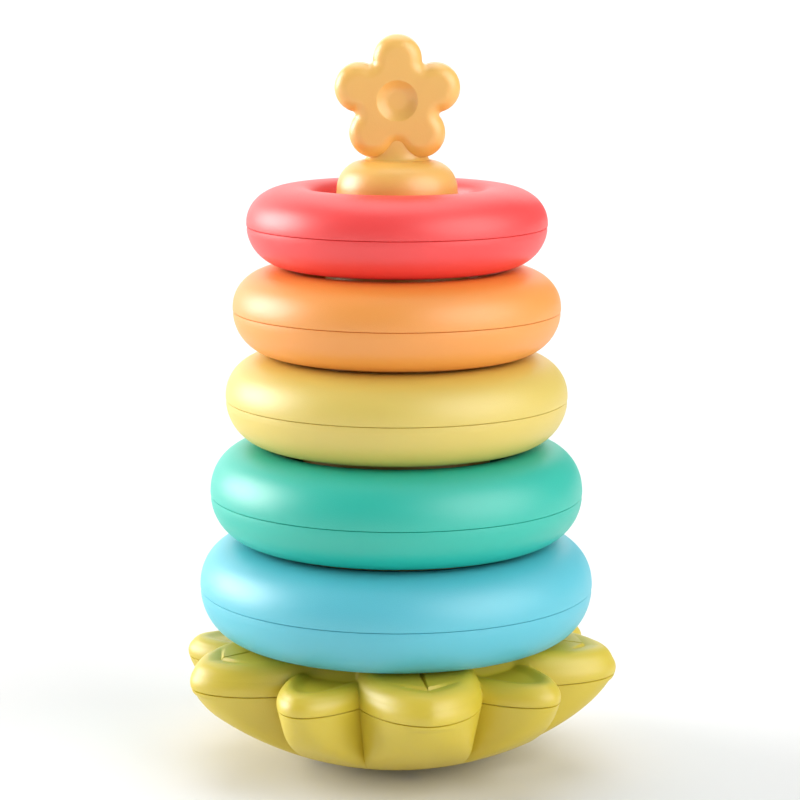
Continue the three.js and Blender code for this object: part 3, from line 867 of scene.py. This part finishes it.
NOTCH_FILLET = 1.25 * MM
half_step = petal_step / 2
fillet_away = PETAL_DISTANCE * math.cos(half_step) + math.sqrt(
    (PETAL_RADIUS + NOTCH_FILLET) ** 2 - (PETAL_DISTANCE * math.sin(half_step)) ** 2)
fillet_share = PETAL_RADIUS / (PETAL_RADIUS + NOTCH_FILLET)
fillet_start = math.atan2(
    fillet_share * fillet_away * math.sin(half_step),
    PETAL_DISTANCE + fillet_share * (fillet_away * math.cos(half_step) - PETAL_DISTANCE))


def flower_rim(angle):
    """The outline's distance from the middle: petal arcs, with small fillets in the notches."""
    off = np.abs((angle - math.pi / 2 + half_step) % petal_step - half_step)
    arc_off = np.minimum(off, fillet_start)
    arc = PETAL_DISTANCE * np.cos(arc_off) + np.sqrt(PETAL_RADIUS**2 - (PETAL_DISTANCE * np.sin(arc_off)) ** 2)
    from_notch = half_step - np.maximum(off, fillet_start)
    fillet = fillet_away * np.cos(from_notch) - np.sqrt(
        np.maximum(NOTCH_FILLET**2 - (fillet_away * np.sin(from_notch)) ** 2, 0))
    return np.where(off < fillet_start, arc, fillet)


flower_turn = np.linspace(0, math.tau, FLOWER_TURNS, endpoint=False)
flower_edge = flower_rim(flower_turn)
flower_outline = flower_edge * np.exp(1j * flower_turn)


def flower_depth(x, z):
    """How far inside the flower's outline a point lies."""
    return np.abs((x + 1j * z)[:, None] - flower_outline[None, :]).min(1)


def dimple_cut(away):
    """The dimple's depth, by the distance from its middle: a bowl with a small flat floor."""
    share = np.clip((away - DIMPLE_FLOOR) / (DIMPLE_RADIUS - DIMPLE_FLOOR), 0, 1)
    bowl = DIMPLE_DEPTH * (1 - share**1.7)
    return np.where(away < DIMPLE_RADIUS, bowl, 0.0)


def flower_half(side):
    """One half: side is -1 for the front, towards -Y, and 1 for the back."""
    floor_share = DIMPLE_RADIUS / flower_edge
    rim_share = 1 - EDGE_ROUNDING / flower_edge
    layers = []

    def layer(share, height):
        x, z = flower_edge * share * np.cos(flower_turn), flower_edge * share * np.sin(flower_turn)
        layers.append(np.stack([x, side * height(x, z), z + FLOWER_Z], 1))

    def face(x, z):
        share = np.clip(flower_depth(x, z) / EDGE_ROUNDING, 0, 1)
        puff = np.sqrt(np.maximum(1 - (1 - share) ** 2, 0))
        return FLOWER_HALF - EDGE_ROUNDING * (1 - puff) - dimple_cut(np.hypot(x, z))

    for s in np.linspace(0, 0.9999, 22):
        layer(floor_share * s, face)
    for s in np.linspace(0, 1, 18):
        layer(floor_share * 1.0001 + (rim_share - floor_share) * s, face)
    for angle in np.linspace(0, math.pi / 2, 27)[1:]:
        layer(1 - (1 - rim_share) * (1 - math.sin(angle)), face)
    wall = FLOWER_HALF - EDGE_ROUNDING
    layer(1.0, lambda x, z: wall / 2 + 0 * x)
    layer(1.0, lambda x, z: 0.35 * MM + 0 * x)
    layer(1 - 0.25 * MM / flower_edge, lambda x, z: PARTING / 4 + 0 * x)
    layer(0.0, lambda x, z: PARTING / 4 + 0 * x)
    return grid_mesh("flower_half", np.stack(layers), poles=True)


def neck_half(side):
    """Half of the flattened neck, from the post's top up into the flower."""
    low = POST_TOP_Z + 0.02 * MM
    outline = [(10.9 * MM, low), (10.3 * MM, low + 0.3 * MM), (9.8 * MM, low + 1.0 * MM),
               (9.4 * MM, low + 2.2 * MM), (9.1 * MM, FLOWER_Z - 8 * MM)]
    turn = np.linspace(0, math.pi, 48)
    layers = [np.stack([0 * turn, 0 * turn + side * PARTING / 4, 0 * turn + low], 1)]
    for r, z in outline:
        layers.append(np.stack([r * np.cos(turn), side * (0.76 * r * np.sin(turn) + PARTING / 4), 0 * turn + z], 1))
    layers.append(np.stack([0 * turn, 0 * turn + side * PARTING / 4, 0 * turn + outline[-1][1]], 1))
    return grid_mesh("neck_half", np.stack(layers), poles=True)


for side, node in ((-1, "flower_front"), (1, "flower_back")):
    half = cut(flower_half(side), neck_half(side), "UNION")
    show(f"{node}_fine", half, POST_PLASTIC, "base", [node])

# %% [markdown]
# ## Screws under the base
# Five pan-head screws sit in the wells under the base. They are all alike, so one is turned, cut with a
# cross, and placed five times by the circle tree.

# %% Make the base screws
HEAD_RADIUS = 3.1 * MM
head_z = SEAT_Z - 0.3 * MM
tip_z = 31 * MM
screw_outline = [(0, head_z - 2.7 * MM), (1.2 * MM, head_z - 2.68 * MM), (2.2 * MM, head_z - 2.4 * MM),
                 (2.85 * MM, head_z - 1.7 * MM), (HEAD_RADIUS, head_z - 0.9 * MM), (HEAD_RADIUS, head_z),
                 (1.5 * MM, head_z)]
for i in range(18):
    z = head_z + 2 * MM + i * 1.1 * MM
    screw_outline += [(1.15 * MM, z), (1.5 * MM, z + 0.45 * MM), (1.15 * MM, z + 0.9 * MM)]
screw_outline += [(1.0 * MM, tip_z - 1.2 * MM), (0, tip_z)]
screw = turned_grid("screw", screw_outline, 36, poles=True)
for across, along in ((0.45 * MM, 2.1 * MM), (2.1 * MM, 0.45 * MM)):
    slot_low, slot_high = head_z - 3.2 * MM, head_z - 1.3 * MM
    corners = [(x, y, z) for z, taper in ((slot_low, 1.15), (slot_high, 0.6))
               for x, y in ((-across * taper, -along * taper), (across * taper, -along * taper),
                            (across * taper, along * taper), (-across * taper, along * taper))]
    blade = bpy.data.meshes.new("driver_blade")
    blade.from_pydata(corners, [], [(3, 2, 1, 0), (4, 5, 6, 7), (0, 1, 5, 4), (1, 2, 6, 5), (2, 3, 7, 6),
                                    (3, 0, 4, 7)])
    screw = cut(screw, finished(blade), "DIFFERENCE")
screw_mesh = on_circle("base_screws_fine", screw, STEEL)
show("base_screws_fine", screw_mesh, STEEL, "base", [f"base_screw_{i + 1}" for i in range(LEAF_PAIRS)])

# %% [markdown]
# ## Hidden pieces
# The weight, its washer and the inner screws keep their CAD shape, because nobody sees them, and get the
# metal finishes.

# %% Finish the hidden pieces
for name, node in nodes.items():
    if node.hide_render:
        continue
    node.data.materials.clear()
    node.data.materials.append(IRON if name == "counterweight" else STEEL)
    print("kept from the CAD:", name)

# %% [markdown]
# ## The floor
# A plain pale sweep, large enough to fill the view to its top edge.

# %% Floor
floor_mesh = bpy.data.meshes.new("floor")
half = 30.0
floor_mesh.from_pydata([(-half, -half, 0), (half, -half, 0), (half, half, 0), (-half, half, 0)], [], [(0, 1, 2, 3)])
floor = bpy.data.objects.new("floor", floor_mesh)
bpy.context.scene.collection.objects.link(floor)
paper = Finish("white_paper", Roughness=0.9)
paper.feed(paper.shader.inputs["Base Color"],
           paper.blend(paper.noise(3, 2), (0.755, 0.755, 0.755, 1), (0.775, 0.775, 0.775, 1)))
floor_mesh.materials.append(paper.material)
